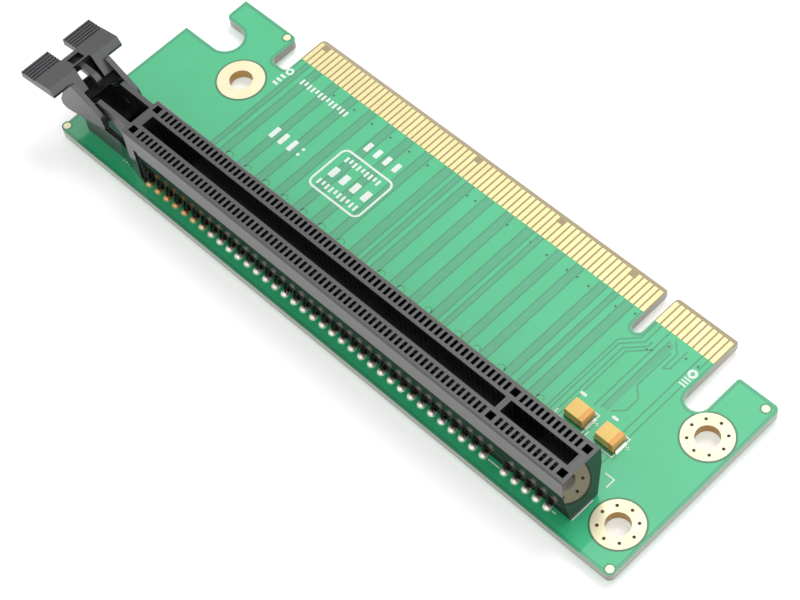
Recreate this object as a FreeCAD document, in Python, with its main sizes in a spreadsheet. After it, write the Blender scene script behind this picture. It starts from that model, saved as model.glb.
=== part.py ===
import FreeCAD, Part
import os
import Sketcher

# Riser card: a printed board with a gold edge tongue on its back edge, a long card connector
# standing on it near the front edge, and a retention latch hinged on the connector's left tower.
# Millimetres. X runs along the connector, Y from the connector toward the tongue, Z up.

SIZES = [
    # contacts, shared by the edge tongue and the connector
    ("contact_pitch", "1.0"),
    ("long_count", "71"),
    ("short_count", "11"),
    ("key_gap", "3.0"),
    # board outline
    ("board_thickness", "1.57"),
    ("board_front", "34.15"),
    ("tongue_margin", "0.65"),
    ("left_slot_width", "3.3"),
    ("left_slot_depth", "3.45"),
    ("left_slot_radius", "0.85"),
    ("left_tab_width", "12.0"),
    ("left_tab_top", "2.3"),
    ("left_step", "3.25"),
    ("right_slot_width", "3.85"),
    ("right_slot_depth", "7.7"),
    ("right_tab_width", "7.45"),
    ("right_tab_top", "0.6"),
    ("key_notch_width", "1.9"),
    ("key_notch_depth", "3.35"),
    ("side_notch_width", "5.6"),
    ("side_notch_reach", "6.0"),
    ("side_notch_setback", "4.85"),
    ("corner_radius", "1.0"),
    ("small_corner_radius", "0.5"),
    # gold fingers and the bevel of the tongue
    ("finger_width", "0.7"),
    ("finger_length", "4.35"),
    ("presence_step", "1.0"),
    ("copper_thickness", "0.05"),
    ("bevel_length", "0.85"),
    ("bevel_depth", "0.45"),
    # plated mounting rings
    ("mount_bore_radius", "1.85"),
    ("mount_wall", "0.3"),
    ("mount_flange_radius", "3.8"),
    ("left_mount_inset", "4.04"),
    ("left_mount_setback", "9.15"),
    ("right_mount_inset", "4.52"),
    ("right_mount_setback", "9.4"),
    ("front_mount_setback", "27.49"),
    # card connector
    ("connector_shift", "0.407"),
    ("connector_setback", "28.62"),
    ("housing_height", "11.25"),
    ("housing_half_width", "3.75"),
    ("housing_left_margin", "2.8"),
    ("housing_right_margin", "2.7"),
    ("foot_height", "3.3"),
    ("foot_half_width", "2.6"),
    ("top_chamfer", "0.25"),
    ("end_block_length", "2.5"),
    ("slot_half_width", "1.125"),
    ("slot_depth", "8.2"),
    ("slot_end_margin", "1.2"),
    ("key_rib_width", "0.9"),
    ("cavity_width", "0.56"),
    ("cavity_inner", "1.7"),
    ("cavity_outer", "3.1"),
    ("cavity_floor", "0.35"),
    ("relief_size", "1.2"),
    ("relief_depth", "5.0"),
    ("relief_left_offset", "1.6"),
    ("relief_right_offset", "1.5"),
    ("groove_width", "0.8"),
    ("groove_offset", "0.3"),
    ("groove_bottom", "0.8"),
    ("groove_top", "8.0"),
    ("groove_depth", "0.6"),
    ("peg_radius", "1.1"),
    ("peg_clearance", "0.1"),
    ("peg_protrusion", "0.85"),
    ("peg_left_offset", "5.6"),
    # latch tower
    ("tower_half_width", "2.7"),
    ("tower_wall", "0.8"),
    ("tower_floor", "1.5"),
    ("tower_top_reach", "6.8"),
    ("tower_shoulder_reach", "7.4"),
    ("tower_shoulder_height", "9.5"),
    ("tower_knee_reach", "11.8"),
    ("tower_knee_height", "6.5"),
    ("tower_base_reach", "12.4"),
    ("tower_base_height", "3.0"),
    ("base_bar_height", "4.3"),
    ("flare_height", "4.6"),
    ("flare_reach", "3.8"),
    ("flare_end_gap", "0.2"),
    ("wall_recess_radius", "4.5"),
    ("wall_recess_depth", "0.4"),
    ("wall_recess_shift", "0.6"),
    ("wall_recess_drop", "3.3"),
    # contacts in the connector
    ("contact_width", "0.4"),
    ("contact_thickness", "0.22"),
    ("contact_top_gap", "1.1"),
    ("contact_wall_gap", "0.1"),
    ("tail_row_outer", "3.25"),
    ("tail_row_inner", "1.25"),
    ("tail_bend_height", "1.1"),
    ("solder_height", "0.45"),
    ("solder_half_width", "0.5"),
    ("joint_drop", "0.8"),
    ("joint_half_width", "0.55"),
    # latch, measured from its pivot
    ("pivot_reach", "5.8"),
    ("pivot_height", "8.5"),
    ("pin_radius", "0.9"),
    ("pin_clearance", "0.05"),
    ("pin_end_gap", "0.05"),
    ("arm_thickness", "0.85"),
    ("arm_side_gap", "0.3"),
    ("arm_end_reach", "1.4"),
    ("arm_end_rise", "1.35"),
    ("arm_end_radius", "0.85"),
    ("arm_heel_reach", "2.7"),
    ("arm_heel_drop", "2.4"),
    ("arm_front_setback", "0.65"),
    ("arm_front_lift", "0.2"),
    ("lobe_reach", "9.8"),
    ("lobe_drop", "4.0"),
    ("lobe_height", "1.6"),
    ("lobe_toe_run", "1.1"),
    ("lobe_toe_rise", "0.3"),
    ("arm_back_reach", "6.9"),
    ("arm_back_drop", "0.6"),
    ("handle_half_width", "6.75"),
    ("handle_reach", "13.9"),
    ("handle_end_rise", "3.6"),
    ("rib_run", "3.8"),
    ("rib_count", "6"),
    ("rib_height", "0.35"),
    ("rib_end_rise", "4.2"),
    ("plateau_reach", "6.6"),
    ("plateau_rise", "5.1"),
    ("handle_front_reach", "5.85"),
    ("handle_front_rise", "4.0"),
    ("handle_thickness", "1.45"),
    ("handle_front_edge", "0.5"),
    ("wing_gap_half_width", "1.55"),
    ("wing_gap_length", "3.6"),
    ("handle_hole_half_width", "1.1"),
    ("handle_hole_near", "7.6"),
    ("handle_hole_far", "9.35"),
    ("handle_hole_bottom", "3.5"),
    ("handle_mouth_reach", "7.25"),
    ("post_inner", "1.6"),
    ("post_reach", "4.3"),
    ("post_drop", "2.2"),
    ("post_root", "0.4"),
    ("post_end_run", "0.9"),
    ("post_end_drop", "0.5"),
    ("hook_half_width", "0.5"),
    ("hook_reach", "3.2"),
    ("hook_rise", "4.3"),
    ("hook_tip_drop", "2.7"),
    ("hook_thickness", "1.05"),
    ("hook_tip_width", "1.3"),
    ("hook_crown_radius", "1.2"),
    # moulded chip capacitors
    ("capacitor_first_offset", "3.8"),
    ("capacitor_spacing", "5.65"),
    ("capacitor_setback", "18.62"),
    ("capacitor_length", "3.5"),
    ("capacitor_width", "2.8"),
    ("capacitor_height", "1.9"),
    ("capacitor_draft", "4.0"),
    ("terminal_thickness", "0.1"),
    ("terminal_width", "2.2"),
    ("terminal_foot", "0.8"),
    ("terminal_rise", "0.9"),
    ("fillet_run", "0.3"),
    ("fillet_rise", "0.4"),
]

doc = FreeCAD.newDocument("RiserCard")
sheet = doc.addObject("Spreadsheet::Sheet", "Sizes")
for row, (alias, text) in enumerate(SIZES, start=1):
    sheet.set("A%d" % row, alias)
    sheet.set("B%d" % row, text)
    sheet.setAlias("B%d" % row, alias)
doc.recompute()

# Places along the board, as expressions of the sheet. X is 0 at the first gold finger.
SHORT_FIRST = "((Sizes.long_count - 1) * Sizes.contact_pitch + Sizes.key_gap)"
KEY_X = "((Sizes.long_count - 1) * Sizes.contact_pitch + Sizes.key_gap / 2)"
LAST_X = "(%s + (Sizes.short_count - 1) * Sizes.contact_pitch)" % SHORT_FIRST
TONGUE_RIGHT = "(%s + Sizes.tongue_margin)" % LAST_X
TONGUE_TIP = "(Sizes.finger_length + Sizes.bevel_length)"
LEFT_TAB_RIGHT = "(-Sizes.tongue_margin - Sizes.left_slot_width)"
LEFT_TAB_LEFT = "(%s - Sizes.left_tab_width)" % LEFT_TAB_RIGHT
BOARD_LEFT = "(%s - Sizes.left_step)" % LEFT_TAB_LEFT
RIGHT_TAB_LEFT = "(%s + Sizes.right_slot_width)" % TONGUE_RIGHT
BOARD_RIGHT = "(%s + Sizes.right_tab_width)" % RIGHT_TAB_LEFT
LEFT_MOUNT_X = "(-Sizes.tongue_margin - Sizes.left_mount_inset)"
RIGHT_MOUNT_X = "(%s - Sizes.right_mount_inset)" % BOARD_RIGHT
MOUNTS = [
    ("left", LEFT_MOUNT_X, "-Sizes.left_mount_setback"),
    ("right", RIGHT_MOUNT_X, "-Sizes.right_mount_setback"),
    ("front", RIGHT_MOUNT_X, "-Sizes.front_mount_setback"),
]

# Places on the connector, measured from its first contact on the centre line of its slot.
HOUSING_LEFT = "(-Sizes.housing_left_margin)"
HOUSING_RIGHT = "(%s + Sizes.housing_right_margin)" % LAST_X
PIVOT_X = "(%s - Sizes.pivot_reach)" % HOUSING_LEFT
PEGS = [
    "(%s - Sizes.peg_left_offset + Sizes.housing_left_margin)" % HOUSING_LEFT,
    KEY_X,
]
ARM_INNER = "(Sizes.tower_half_width + Sizes.arm_side_gap)"
ARM_OUTER = "(%s + Sizes.arm_thickness)" % ARM_INNER

# The part's origin is the middle of its bounding box in plan, at the lowest point of the pegs.
ORIGIN_X = "((%s - Sizes.connector_shift - Sizes.handle_reach + %s) / 2)" % (PIVOT_X, BOARD_RIGHT)
ORIGIN_Y = "((%s - Sizes.connector_setback - Sizes.handle_half_width) / 2)" % TONGUE_TIP
ORIGIN_Z = "(-Sizes.board_thickness - Sizes.peg_protrusion)"


def value(expression):
    return float(sheet.evalExpression(expression.replace("Sizes.", "")))


def new_body(name, x="0", y="0", z="0"):
    body = doc.addObject("PartDesign::Body", name)
    body.Label = name
    body.AllowCompound = True
    body.setExpression("Placement.Base.x", "(%s) - %s" % (x, ORIGIN_X))
    body.setExpression("Placement.Base.y", "(%s) - %s" % (y, ORIGIN_Y))
    body.setExpression("Placement.Base.z", "(%s) - %s" % (z, ORIGIN_Z))
    return body


def on_connector(name):
    return new_body(name, "-Sizes.connector_shift", "-Sizes.connector_setback")


def new_sketch(body, name, role, lift="0"):
    plane = [f for f in body.Origin.OriginFeatures if f.Role == role][0]
    sketch = body.newObject("Sketcher::SketchObject", name)
    sketch.AttachmentSupport = [(plane, "")]
    sketch.MapMode = "FlatFace"
    sketch.setExpression("AttachmentOffset.Base.z", lift)
    return sketch


def bound(sketch, kind, places, expression):
    amount = value(expression)
    index = sketch.addConstraint(Sketcher.Constraint(kind, *places, amount))
    sketch.setExpression("Constraints[%d]" % index, expression)


# A closed outline of straight lines through points given as pairs of expressions
def outline(sketch, points):
    first = sketch.GeometryCount
    count = len(points)
    at = [FreeCAD.Vector(value(x), value(y), 0) for x, y in points]
    for i in range(count):
        sketch.addGeometry(Part.LineSegment(at[i], at[(i + 1) % count]), False)
    joins = [Sketcher.Constraint("Coincident", first + i, 2, first + (i + 1) % count, 1)
             for i in range(count)]
    sketch.addConstraint(joins)
    for i, (x, y) in enumerate(points):
        bound(sketch, "DistanceX", (-1, 1, first + i, 1), x)
        bound(sketch, "DistanceY", (-1, 1, first + i, 1), y)


def box_outline(sketch, left, bottom, right, top):
    outline(sketch, [(left, bottom), (right, bottom), (right, top), (left, top)])


def circle(sketch, x, y, radius):
    centre = FreeCAD.Vector(value(x), value(y), 0)
    index = sketch.addGeometry(Part.Circle(centre, FreeCAD.Vector(0, 0, 1), value(radius)), False)
    bound(sketch, "DistanceX", (-1, 1, index, 3), x)
    bound(sketch, "DistanceY", (-1, 1, index, 3), y)
    bound(sketch, "Radius", (index,), radius)


def pad(body, name, sketch, length, both_ways=False, turned=False):
    feature = body.newObject("PartDesign::Pad", name)
    feature.Profile = sketch
    feature.setExpression("Length", length)
    feature.Midplane = both_ways
    feature.Reversed = turned
    doc.recompute()
    return feature


def pocket(body, name, sketch, depth=None, turned=False):
    feature = body.newObject("PartDesign::Pocket", name)
    feature.Profile = sketch
    if depth is None:
        feature.Type = "ThroughAll"
        feature.Midplane = True
    else:
        feature.setExpression("Length", depth)
        feature.Reversed = turned
    before = feature.BaseFeature.Shape.Volume
    doc.recompute()
    if not before - feature.Shape.Volume > 1e-6:
        raise RuntimeError("%s removes nothing" % name)
    return feature


# Copies of a feature along X
def row_of(body, name, feature, sketch, count, pitch):
    pattern = body.newObject("PartDesign::LinearPattern", name)
    pattern.Originals = [feature]
    pattern.Direction = (sketch, ["H_Axis"])
    pattern.setExpression("Length", "(%s - 1) * %s" % (count, pitch))
    pattern.setExpression("Occurrences", count)
    body.Tip = pattern
    doc.recompute()
    return pattern


# Rounded edges, chosen by a test on the middle of each edge
def round_edges(body, name, radius, chosen):
    base = body.Tip
    names = ["Edge%d" % (i + 1) for i, edge in enumerate(base.Shape.Edges)
             if chosen(edge, edge.valueAt((edge.FirstParameter + edge.LastParameter) / 2))]
    feature = body.newObject("PartDesign::Fillet", name)
    feature.Base = (base, names)
    feature.setExpression("Radius", radius)
    doc.recompute()
    return feature


def upright_at(corners):
    places = [(value(x), value(y)) for x, y in corners]

    def chosen(edge, middle):
        if len(edge.Vertexes) < 2 or abs(edge.tangentAt(edge.FirstParameter).z) < 0.99:
            return False
        return any(abs(middle.x - x) < 1e-4 and abs(middle.y - y) < 1e-4 for x, y in places)
    return chosen


# A notch with a full round inner end, open toward +Y, cut through the board
def round_notch(body, name, left, width, depth):
    centre = "(%s + %s / 2)" % (left, width)
    round_centre = "(%s / 2 - %s)" % (width, depth)
    channel = new_sketch(body, name + "Channel", "XY_Plane")
    box_outline(channel, left, round_centre, "(%s + %s)" % (left, width), "%s + 1" % TONGUE_TIP)
    pocket(body, name, channel)
    end = new_sketch(body, name + "EndCircle", "XY_Plane")
    circle(end, centre, round_centre, "%s / 2" % width)
    pocket(body, name + "End", end)


# Board
board = new_body("circuit_board")
plan = new_sketch(board, "BoardPlan", "XY_Plane")
outline(plan, [
    (BOARD_LEFT, "-Sizes.board_front"),
    (BOARD_RIGHT, "-Sizes.board_front"),
    (BOARD_RIGHT, "Sizes.right_tab_top"),
    (TONGUE_RIGHT, "Sizes.right_tab_top"),
    (TONGUE_RIGHT, TONGUE_TIP),
    ("-Sizes.tongue_margin", TONGUE_TIP),
    ("-Sizes.tongue_margin", "Sizes.left_tab_top"),
    (LEFT_TAB_LEFT, "Sizes.left_tab_top"),
    (LEFT_TAB_LEFT, "-Sizes.side_notch_setback"),
    (BOARD_LEFT, "-Sizes.side_notch_setback"),
])
pad(board, "BoardPad", plan, "Sizes.board_thickness", turned=True)

slot_plan = new_sketch(board, "LeftSlotPlan", "XY_Plane")
box_outline(slot_plan, LEFT_TAB_RIGHT, "-Sizes.left_slot_depth", "-Sizes.tongue_margin",
            "%s + 1" % TONGUE_TIP)
pocket(board, "LeftSlot", slot_plan)
round_notch(board, "RightSlot", TONGUE_RIGHT, "Sizes.right_slot_width", "Sizes.right_slot_depth")
round_notch(board, "KeyNotch", "(%s - Sizes.key_notch_width / 2)" % KEY_X,
            "Sizes.key_notch_width", "Sizes.key_notch_depth")

NOTCH_CENTRE_X = "(%s + Sizes.side_notch_reach - Sizes.side_notch_width / 2)" % LEFT_TAB_LEFT
side = new_sketch(board, "SideNotchPlan", "XY_Plane")
box_outline(side, "%s - 1" % BOARD_LEFT, "-Sizes.side_notch_setback - Sizes.side_notch_width / 2",
            NOTCH_CENTRE_X, "-Sizes.side_notch_setback + Sizes.side_notch_width / 2")
pocket(board, "SideNotch", side)
side_end = new_sketch(board, "SideNotchEndCircle", "XY_Plane")
circle(side_end, NOTCH_CENTRE_X, "-Sizes.side_notch_setback", "Sizes.side_notch_width / 2")
pocket(board, "SideNotchEnd", side_end)

round_edges(board, "OuterCorners", "Sizes.corner_radius", upright_at([
    (BOARD_LEFT, "-Sizes.board_front"),
    (BOARD_RIGHT, "-Sizes.board_front"),
    (BOARD_RIGHT, "Sizes.right_tab_top"),
    (LEFT_TAB_RIGHT, "Sizes.left_tab_top"),
    (LEFT_TAB_LEFT, "-Sizes.side_notch_setback + Sizes.side_notch_width / 2"),
]))
round_edges(board, "SlotCorners", "Sizes.left_slot_radius", upright_at([
    (LEFT_TAB_RIGHT, "-Sizes.left_slot_depth"),
    ("-Sizes.tongue_margin", "-Sizes.left_slot_depth"),
]))
round_edges(board, "TongueCorners", "Sizes.small_corner_radius", upright_at([
    ("-Sizes.tongue_margin", TONGUE_TIP),
    ("%s - Sizes.key_notch_width / 2" % KEY_X, TONGUE_TIP),
    ("%s + Sizes.key_notch_width / 2" % KEY_X, TONGUE_TIP),
    (TONGUE_RIGHT, TONGUE_TIP),
    (RIGHT_TAB_LEFT, "Sizes.right_tab_top"),
]))

bevel = new_sketch(board, "BevelSection", "YZ_Plane")
outline(bevel, [
    ("Sizes.finger_length", "0"),
    (TONGUE_TIP, "-Sizes.bevel_depth"),
    ("%s + 1" % TONGUE_TIP, "-Sizes.bevel_depth"),
    ("%s + 1" % TONGUE_TIP, "1"),
    ("Sizes.finger_length", "1"),
])
outline(bevel, [
    ("Sizes.finger_length", "-Sizes.board_thickness"),
    (TONGUE_TIP, "-Sizes.board_thickness + Sizes.bevel_depth"),
    ("%s + 1" % TONGUE_TIP, "-Sizes.board_thickness + Sizes.bevel_depth"),
    ("%s + 1" % TONGUE_TIP, "-Sizes.board_thickness - 1"),
    ("Sizes.finger_length", "-Sizes.board_thickness - 1"),
])
pocket(board, "TongueBevel", bevel)

holes = new_sketch(board, "HolePlan", "XY_Plane")
for name, x, y in MOUNTS:
    circle(holes, x, y, "Sizes.mount_bore_radius + Sizes.mount_wall")
for x in PEGS:
    circle(holes, "%s - Sizes.connector_shift" % x, "-Sizes.connector_setback",
           "Sizes.peg_radius + Sizes.peg_clearance")
pocket(board, "MountAndPegHoles", holes)


# Gold fingers: one pad, its row, and a step cut off the outer end of the presence fingers
def finger_row(name, first, count, lift, presence):
    body = new_body(name)
    sketch = new_sketch(body, "FingerPlan", "XY_Plane", lift)
    box_outline(sketch, "%s - Sizes.finger_width / 2" % first, "0",
                "%s + Sizes.finger_width / 2" % first, "Sizes.finger_length")
    finger = pad(body, "Finger", sketch, "Sizes.copper_thickness")
    row_of(body, "Fingers", finger, sketch, count, "Sizes.contact_pitch")
    if presence:
        step = new_sketch(body, "PresencePlan", "XY_Plane", lift)
        for place in presence:
            centre = "(%s + %d * Sizes.contact_pitch)" % (first, place)
            box_outline(step, "%s - Sizes.finger_width" % centre,
                        "Sizes.finger_length - Sizes.presence_step",
                        "%s + Sizes.finger_width" % centre, "Sizes.finger_length + 1")
        pocket(body, "PresenceStep", step)


UNDER = "-Sizes.board_thickness - Sizes.copper_thickness"
finger_row("edge_fingers_top_long", "0", "Sizes.long_count", "0", [1, 34, 51, 65])
finger_row("edge_fingers_top_short", SHORT_FIRST, "Sizes.short_count", "0", [])
finger_row("edge_fingers_under_long", "0", "Sizes.long_count", UNDER, [])
finger_row("edge_fingers_under_short", SHORT_FIRST, "Sizes.short_count", UNDER, [10])

# Plated mounting rings: a barrel through the board with a flange on each face
for name, x, y in MOUNTS:
    ring = new_body("mounting_ring_" + name, x, y)
    section = new_sketch(ring, "RingSection", "XZ_Plane")
    outline(section, [
        ("Sizes.mount_bore_radius", UNDER),
        ("Sizes.mount_flange_radius", UNDER),
        ("Sizes.mount_flange_radius", "-Sizes.board_thickness"),
        ("Sizes.mount_bore_radius + Sizes.mount_wall", "-Sizes.board_thickness"),
        ("Sizes.mount_bore_radius + Sizes.mount_wall", "0"),
        ("Sizes.mount_flange_radius", "0"),
        ("Sizes.mount_flange_radius", "Sizes.copper_thickness"),
        ("Sizes.mount_bore_radius", "Sizes.copper_thickness"),
    ])
    turned = ring.newObject("PartDesign::Revolution", "RingRevolution")
    turned.Profile = section
    turned.ReferenceAxis = (section, ["V_Axis"])
    turned.Angle = 360
    doc.recompute()

# Connector housing: the long moulding, its foot, the end blocks and the latch tower
housing = on_connector("connector_housing")
section = new_sketch(housing, "HousingSection", "YZ_Plane", HOUSING_LEFT)
outline(section, [
    ("-Sizes.foot_half_width", "0"),
    ("Sizes.foot_half_width", "0"),
    ("Sizes.foot_half_width", "Sizes.foot_height"),
    ("Sizes.housing_half_width", "Sizes.foot_height"),
    ("Sizes.housing_half_width", "Sizes.housing_height - Sizes.top_chamfer"),
    ("Sizes.housing_half_width - Sizes.top_chamfer", "Sizes.housing_height"),
    ("-Sizes.housing_half_width + Sizes.top_chamfer", "Sizes.housing_height"),
    ("-Sizes.housing_half_width", "Sizes.housing_height - Sizes.top_chamfer"),
    ("-Sizes.housing_half_width", "Sizes.foot_height"),
    ("-Sizes.foot_half_width", "Sizes.foot_height"),
])
pad(housing, "HousingPad", section, "%s - %s" % (HOUSING_RIGHT, HOUSING_LEFT))

profile = new_sketch(housing, "TowerProfile", "XZ_Plane")
outline(profile, [
    (HOUSING_LEFT, "0"),
    (HOUSING_LEFT, "Sizes.housing_height"),
    ("%s - Sizes.tower_top_reach" % HOUSING_LEFT, "Sizes.housing_height"),
    ("%s - Sizes.tower_shoulder_reach" % HOUSING_LEFT, "Sizes.tower_shoulder_height"),
    ("%s - Sizes.tower_knee_reach" % HOUSING_LEFT, "Sizes.tower_knee_height"),
    ("%s - Sizes.tower_base_reach" % HOUSING_LEFT, "Sizes.tower_base_height"),
    ("%s - Sizes.tower_base_reach" % HOUSING_LEFT, "0"),
])
pad(housing, "TowerPad", profile, "2 * Sizes.tower_half_width", both_ways=True)

# Rounded recess in each face of the tower, where the latch's arm swings
for name, lift, turned in (("Near", "Sizes.tower_half_width", False),
                           ("Far", "-Sizes.tower_half_width", True)):
    recess = new_sketch(housing, name + "RecessPlan", "XZ_Plane", lift)
    circle(recess, "%s - Sizes.wall_recess_shift" % PIVOT_X,
           "Sizes.pivot_height - Sizes.wall_recess_drop", "Sizes.wall_recess_radius")
    pocket(housing, name + "Recess", recess, "Sizes.wall_recess_depth", turned)

# A plain bar along the foot of the tower, below the recesses
bar = new_sketch(housing, "BaseBarPlan", "XY_Plane")
box_outline(bar, "%s - Sizes.tower_base_reach + Sizes.tower_wall" % HOUSING_LEFT,
            "-Sizes.tower_half_width", HOUSING_LEFT, "Sizes.tower_half_width")
pad(housing, "BaseBar", bar, "Sizes.base_bar_height")

# The foot widens from the tower to the full width of the housing, and ends short of the first
# contact's solder
FLARE_RIGHT = "(-Sizes.solder_half_width - Sizes.flare_end_gap)"
flare = new_sketch(housing, "FlarePlan", "XY_Plane")
outline(flare, [
    ("%s - Sizes.flare_reach" % HOUSING_LEFT, "-Sizes.tower_half_width"),
    ("%s / 2" % HOUSING_LEFT, "-Sizes.housing_half_width"),
    (FLARE_RIGHT, "-Sizes.housing_half_width"),
    (FLARE_RIGHT, "Sizes.housing_half_width"),
    ("%s / 2" % HOUSING_LEFT, "Sizes.housing_half_width"),
    ("%s - Sizes.flare_reach" % HOUSING_LEFT, "Sizes.tower_half_width"),
])
pad(housing, "BaseFlare", flare, "Sizes.flare_height")
end = new_sketch(housing, "EndBlockPlan", "XY_Plane")
box_outline(end, "%s - Sizes.end_block_length" % HOUSING_RIGHT, "-Sizes.housing_half_width",
            HOUSING_RIGHT, "Sizes.housing_half_width")
pad(housing, "EndBlock", end, "Sizes.foot_height")

well = new_sketch(housing, "TowerWellPlan", "XY_Plane", "Sizes.housing_height")
box_outline(well, "%s - Sizes.tower_base_reach + Sizes.tower_wall" % HOUSING_LEFT,
            "-Sizes.tower_half_width + Sizes.tower_wall", HOUSING_LEFT,
            "Sizes.tower_half_width - Sizes.tower_wall")
pocket(housing, "TowerWell", well, "Sizes.housing_height - Sizes.tower_floor")

pin_holes = new_sketch(housing, "PinHolePlan", "XZ_Plane")
circle(pin_holes, PIVOT_X, "Sizes.pivot_height", "Sizes.pin_radius + Sizes.pin_clearance")
pocket(housing, "PinHoles", pin_holes)

# Card slot in two lengths, with the key rib between them
slots = new_sketch(housing, "SlotPlan", "XY_Plane", "Sizes.housing_height")
for left, right in (
    ("-Sizes.slot_end_margin", "%s - Sizes.key_rib_width / 2" % KEY_X),
    ("%s + Sizes.key_rib_width / 2" % KEY_X, "%s + Sizes.slot_end_margin" % LAST_X),
):
    box_outline(slots, left, "-Sizes.slot_half_width", right, "Sizes.slot_half_width")
pocket(housing, "CardSlot", slots, "Sizes.slot_depth")

reliefs = new_sketch(housing, "ReliefPlan", "XY_Plane", "Sizes.housing_height")
RELIEF_Y = "(Sizes.cavity_inner + Sizes.cavity_outer) / 2"
for x in ("-Sizes.relief_left_offset", KEY_X, "%s + Sizes.relief_right_offset" % LAST_X):
    for side_y in (RELIEF_Y, "-" + RELIEF_Y):
        box_outline(reliefs, "%s - Sizes.relief_size / 2" % x, "%s - Sizes.relief_size / 2" % side_y,
                    "%s + Sizes.relief_size / 2" % x, "%s + Sizes.relief_size / 2" % side_y)
pocket(housing, "Reliefs", reliefs, "Sizes.relief_depth")

for name, lift, turned in (("Near", "Sizes.housing_half_width", False),
                           ("Far", "-Sizes.housing_half_width", True)):
    groove = new_sketch(housing, name + "GroovePlan", "XZ_Plane", lift)
    box_outline(groove, "-Sizes.groove_offset - Sizes.groove_width", "Sizes.groove_bottom",
                "-Sizes.groove_offset", "Sizes.groove_top")
    pocket(housing, name + "Groove", groove, "Sizes.groove_depth", turned)

pegs = new_sketch(housing, "PegPlan", "XY_Plane")
for x in PEGS:
    circle(pegs, x, "0", "Sizes.peg_radius")
pad(housing, "Pegs", pegs, "Sizes.board_thickness + Sizes.peg_protrusion", turned=True)

# Contact cavities: every second contact of a row goes out through the ledge of the foot, and the
# ones between stand on a floor just above it
GROUPS = [
    ("LongOuter", "0", "ceil(Sizes.long_count / 2)"),
    ("LongInner", "Sizes.contact_pitch", "floor(Sizes.long_count / 2)"),
    ("ShortInner", SHORT_FIRST, "ceil(Sizes.short_count / 2)"),
    ("ShortOuter", "%s + Sizes.contact_pitch" % SHORT_FIRST, "floor(Sizes.short_count / 2)"),
]
for name, first, count in GROUPS:
    cavity = new_sketch(housing, name + "CavityPlan", "XY_Plane", "Sizes.housing_height")
    for low, high in (("Sizes.cavity_inner", "Sizes.cavity_outer"),
                      ("-Sizes.cavity_outer", "-Sizes.cavity_inner")):
        box_outline(cavity, "%s - Sizes.cavity_width / 2" % first, low,
                    "%s + Sizes.cavity_width / 2" % first, high)
    depth = "Sizes.housing_height - Sizes.foot_height"
    if name.endswith("Inner"):
        depth = depth + " - Sizes.cavity_floor"
    cut = pocket(housing, name + "Cavity", cavity, depth)
    row_of(housing, name + "Cavities", cut, cavity, count, "2 * Sizes.contact_pitch")


# Contacts: a stamped strip that leans across its cavity toward the slot. The outer ones go on
# through the ledge, bend outward and end on the solder of the outer row of holes.
def strip_outline(sketch, side, spine):
    half = "Sizes.contact_thickness / 2"
    outer = [("%s(%s + %s)" % (side, y, half), z) for y, z in spine]
    inner = [("%s(%s - %s)" % (side, y, half), z) for y, z in reversed(spine)]
    outline(sketch, outer + inner)


CONTACT_TOP = "Sizes.housing_height - Sizes.contact_top_gap"
REACH = "Sizes.contact_wall_gap + Sizes.contact_thickness / 2"
TIP_Y = "Sizes.cavity_inner + %s" % REACH
ROOT_Y = "Sizes.cavity_outer - (%s)" % REACH
for side_name, side in (("near", "-"), ("far", "")):
    for length in ("Long", "Short"):
        body = on_connector("contacts_%s_%s" % (side_name, length.lower()))
        for name, first, count in GROUPS:
            if not name.startswith(length):
                continue
            half_width = "Sizes.contact_width / 2"
            sketch = new_sketch(body, name + "Spine", "YZ_Plane", "%s - %s" % (first, half_width))
            if name.endswith("Outer"):
                spine = [
                    ("Sizes.tail_row_outer", "Sizes.solder_height"),
                    ("Sizes.tail_row_outer", "Sizes.tail_bend_height"),
                    (TIP_Y, CONTACT_TOP),
                ]
            else:
                spine = [
                    (ROOT_Y, "Sizes.foot_height + Sizes.cavity_floor"),
                    (TIP_Y, CONTACT_TOP),
                ]
            strip_outline(sketch, side, spine)
            strip = pad(body, name + "Strip", sketch, "Sizes.contact_width")
            along = new_sketch(body, name + "Line", "XY_Plane")
            row_of(body, name + "Strips", strip, along, count, "2 * Sizes.contact_pitch")


# Solder: a small foot that narrows away from the board to the width of a contact
def solder_row(name, side, row, groups, lift, rise, half):
    body = on_connector(name)
    for group, first, count in groups:
        section = new_sketch(body, group + "Section", "YZ_Plane", "%s - %s" % (first, half))
        top = "%s + (%s)" % (lift, rise)
        outline(section, [
            ("%s%s - %s" % (side, row, half), lift),
            ("%s%s + %s" % (side, row, half), lift),
            ("%s%s + Sizes.contact_width / 2" % (side, row), top),
            ("%s%s - Sizes.contact_width / 2" % (side, row), top),
        ])
        foot = pad(body, group + "Foot", section, "2 * %s" % half)
        along = new_sketch(body, group + "Line", "XY_Plane")
        row_of(body, group + "Row", foot, along, count, "2 * Sizes.contact_pitch")


OUTER_GROUPS = [g for g in GROUPS if g[0].endswith("Outer")]
INNER_GROUPS = [g for g in GROUPS if g[0].endswith("Inner")]
for side_name, side in (("near", "-"), ("far", "")):
    solder_row("solder_feet_" + side_name, side, "Sizes.tail_row_outer", OUTER_GROUPS,
               "0", "Sizes.solder_height", "Sizes.solder_half_width")
    for row_name, row, groups in (("outer", "Sizes.tail_row_outer", OUTER_GROUPS),
                                  ("inner", "Sizes.tail_row_inner", INNER_GROUPS)):
        solder_row("solder_tails_%s_%s" % (side_name, row_name), side, row, groups,
                   "-Sizes.board_thickness", "-Sizes.joint_drop", "Sizes.joint_half_width")

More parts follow.
